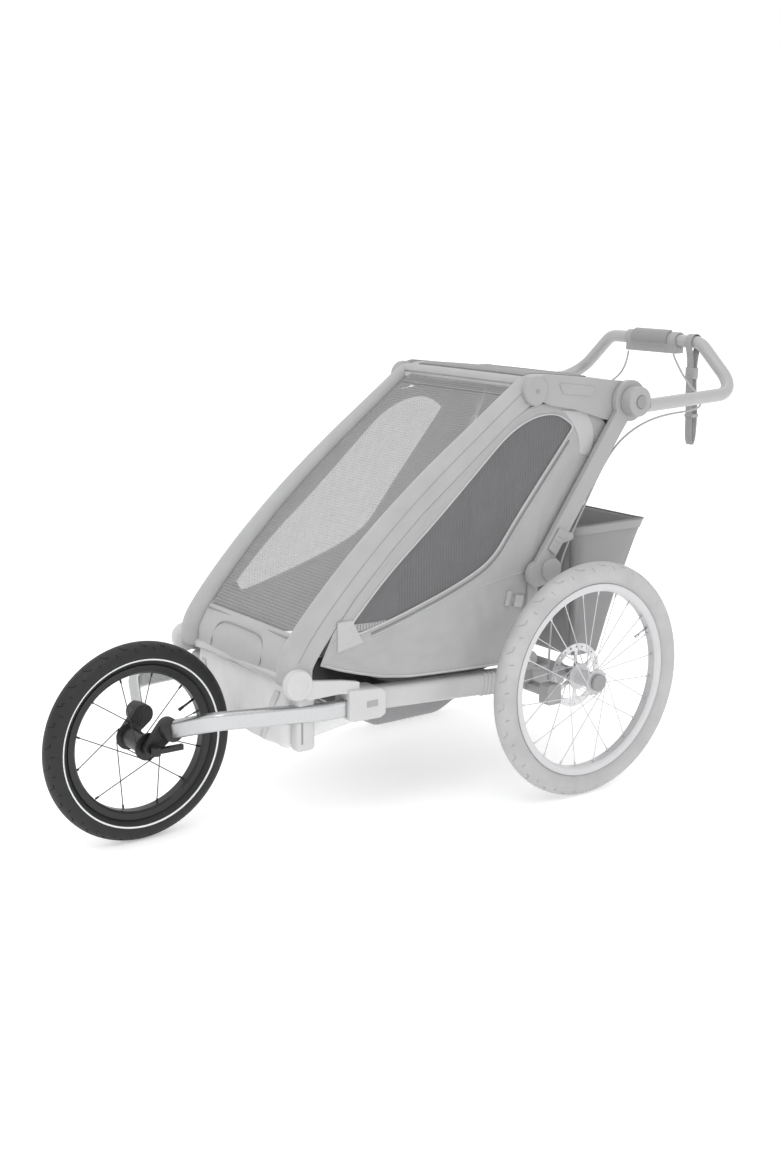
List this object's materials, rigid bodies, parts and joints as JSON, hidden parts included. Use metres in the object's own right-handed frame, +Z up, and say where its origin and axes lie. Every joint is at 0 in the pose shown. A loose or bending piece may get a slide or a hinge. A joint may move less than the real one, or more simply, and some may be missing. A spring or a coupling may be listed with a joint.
{
  "type": "child bicycle trailer",
  "caption": "Single-seat child trailer with a folding frame, front cover, tilting push bar, cargo bag and a third jogging wheel on two arms.",
  "frame": {"origin": "on the ground, midway between the front wheel's foremost point and the push bar's rearmost point, on the centre plane", "axes": "+X to the rear, +Y to the trailer's right, +Z up"},
  "size_m": [1.576, 0.6946, 0.9313],
  "materials": {
    "aluminium_frame": "satin anodised tube",
    "grey_paint": "satin grey coat",
    "grey_plastic": "moulded, fine texture",
    "dark_plastic": "moulded, matt",
    "black_metal": "satin black",
    "steel": "satin",
    "fabric": "coated weave",
    "webbing": "flat woven webbing",
    "grey_tyre": "moulded, fine zigzag tread",
    "black_tyre": "moulded, with a pale reflective line",
    "cable": "smooth sleeve"
  },
  "bodies": {
    "frame": {"side_rail_left": "grey_paint", "side_rail_right": "grey_paint", "front_cross_tube": "grey_paint", "axle_beam": "grey_paint", "corner_joint_left": "grey_plastic", "corner_joint_right": "grey_plastic", "foot_panel": "fabric", "floor_pan": "fabric", "arm_socket_left": "grey_plastic", "arm_socket_right": "grey_plastic", "lower_upright_left": "grey_paint", "lower_upright_right": "grey_paint", "side_panel_left": "fabric", "side_panel_right": "fabric", "seat_sling": "fabric", "seat_harness": "webbing", "cargo_bag": "fabric", "brake_caliper_left": "grey_plastic", "brake_caliper_right": "grey_plastic"},
    "wheel_left": {"tyre_left": "grey_tyre", "rim_left": "aluminium_frame", "hub_left": "aluminium_frame", "spokes_left": "steel", "rotor_left": "steel"},
    "wheel_right": {"tyre_right": "grey_tyre", "rim_right": "aluminium_frame", "hub_right": "aluminium_frame", "spokes_right": "steel", "rotor_right": "steel"},
    "wheel_button_left": {"release_button_left": "grey_plastic"},
    "wheel_button_right": {"release_button_right": "grey_plastic"},
    "front_frame": {"front_hoop": "grey_paint", "front_cover": "fabric"},
    "roof": {"hinge_housing_left": "grey_plastic", "hinge_housing_right": "grey_plastic", "roof_cover": "fabric"},
    "rear_frame": {"upright_left": "grey_paint", "upright_right": "grey_paint", "bag_hoop": "steel"},
    "latch_left": {"fold_latch_left": "grey_plastic"},
    "latch_right": {"fold_latch_right": "grey_plastic"},
    "handlebar": {"handlebar_tube": "grey_paint", "pivot_hub_left": "grey_plastic", "pivot_hub_right": "grey_plastic", "brake_housing": "grey_plastic", "wrist_strap": "webbing", "brake_cable_left": "cable", "brake_cable_right": "cable"},
    "brake_lever": {"brake_lever": "grey_plastic"},
    "hub_button_left": {"pivot_button_left": "grey_plastic"},
    "hub_button_right": {"pivot_button_right": "grey_plastic"},
    "jog_kit": {"jog_arm_left": "aluminium_frame", "jog_arm_right": "aluminium_frame", "jog_dropouts": "dark_plastic", "jog_axle": "black_metal"},
    "jog_wheel": {"jog_tyre": "black_tyre", "jog_rim": "black_metal", "jog_hub": "black_metal", "jog_spokes": "black_metal"},
    "quick_release": {"quick_release_lever": "dark_plastic"}
  },
  "joints": [
    {"name": "pillar_fold", "type": "hinge", "parent": "frame", "child": "front_frame", "pos_m": [-0.3635, 0, 0.324], "axis": [0, 1, 0], "range_deg": [0, 28.39], "deforming": ["side_panel_left", "side_panel_right", "seat_sling", "seat_harness", "cargo_bag", "brake_cable_left", "brake_cable_right"]},
    {"name": "upright_fold", "type": "hinge", "parent": "frame", "child": "rear_frame", "pos_m": [0.247, 0, 0.472], "axis": [0, 1, 0], "range_deg": [0, 58]},
    {"name": "roof_fold", "type": "hinge", "parent": "front_frame", "child": "roof", "pos_m": [0.1985, 0, 0.849], "axis": [0, 1, 0], "range_deg": [-31.81, 0]},
    {"name": "handlebar_tilt", "type": "hinge", "parent": "rear_frame", "child": "handlebar", "pos_m": [0.46, 0, 0.806], "axis": [0, 1, 0], "range_deg": [-60, 50]},
    {"name": "hub_button_left_press", "type": "slide", "parent": "handlebar", "child": "hub_button_left", "axis": [0, 1, 0], "range_m": [0, 0.004], "stiffness_N_per_m": 800},
    {"name": "hub_button_right_press", "type": "slide", "parent": "handlebar", "child": "hub_button_right", "axis": [0, -1, 0], "range_m": [0, 0.004], "stiffness_N_per_m": 800},
    {"name": "brake_squeeze", "type": "hinge", "parent": "handlebar", "child": "brake_lever", "pos_m": [0.769, 0, 0.908], "axis": [0, 1, 0], "range_deg": [-20, 0], "stiffness_Nm_per_rad": 0.8},
    {"name": "latch_left_slide", "type": "slide", "parent": "rear_frame", "child": "latch_left", "axis": [0.5804, 0, 0.8143], "range_m": [0, 0.01], "stiffness_N_per_m": 300},
    {"name": "latch_right_slide", "type": "slide", "parent": "rear_frame", "child": "latch_right", "axis": [0.5804, 0, 0.8143], "range_m": [0, 0.01], "stiffness_N_per_m": 300},
    {"name": "wheel_left_spin", "type": "hinge", "parent": "frame", "child": "wheel_left", "pos_m": [0.292, -0.31, 0.2475], "axis": [0, 1, 0], "continuous": true},
    {"name": "wheel_right_spin", "type": "hinge", "parent": "frame", "child": "wheel_right", "pos_m": [0.292, 0.31, 0.2475], "axis": [0, 1, 0], "continuous": true},
    {"name": "wheel_button_left_press", "type": "slide", "parent": "wheel_left", "child": "wheel_button_left", "axis": [0, 1, 0], "range_m": [0, 0.004], "stiffness_N_per_m": 800},
    {"name": "wheel_button_right_press", "type": "slide", "parent": "wheel_right", "child": "wheel_button_right", "axis": [0, -1, 0], "range_m": [0, 0.004], "stiffness_N_per_m": 800},
    {"name": "jog_kit_slide", "type": "slide", "parent": "frame", "child": "jog_kit", "axis": [-1, 0, 0], "range_m": [0, 0.15]},
    {"name": "jog_wheel_spin", "type": "hinge", "parent": "jog_kit", "child": "jog_wheel", "pos_m": [-0.5905, 0, 0.1975], "axis": [0, 1, 0], "continuous": true},
    {"name": "quick_release_turn", "type": "hinge", "parent": "jog_kit", "child": "quick_release", "pos_m": [-0.5905, -0.072, 0.1975], "axis": [0, 0, 1], "range_deg": [-170, 0]}
  ],
  "couplings": [
    {"joint": "upright_fold", "follows": "pillar_fold", "ratio": 1.9728},
    {"joint": "roof_fold", "follows": "pillar_fold", "ratio": -1.0501}
  ]
}
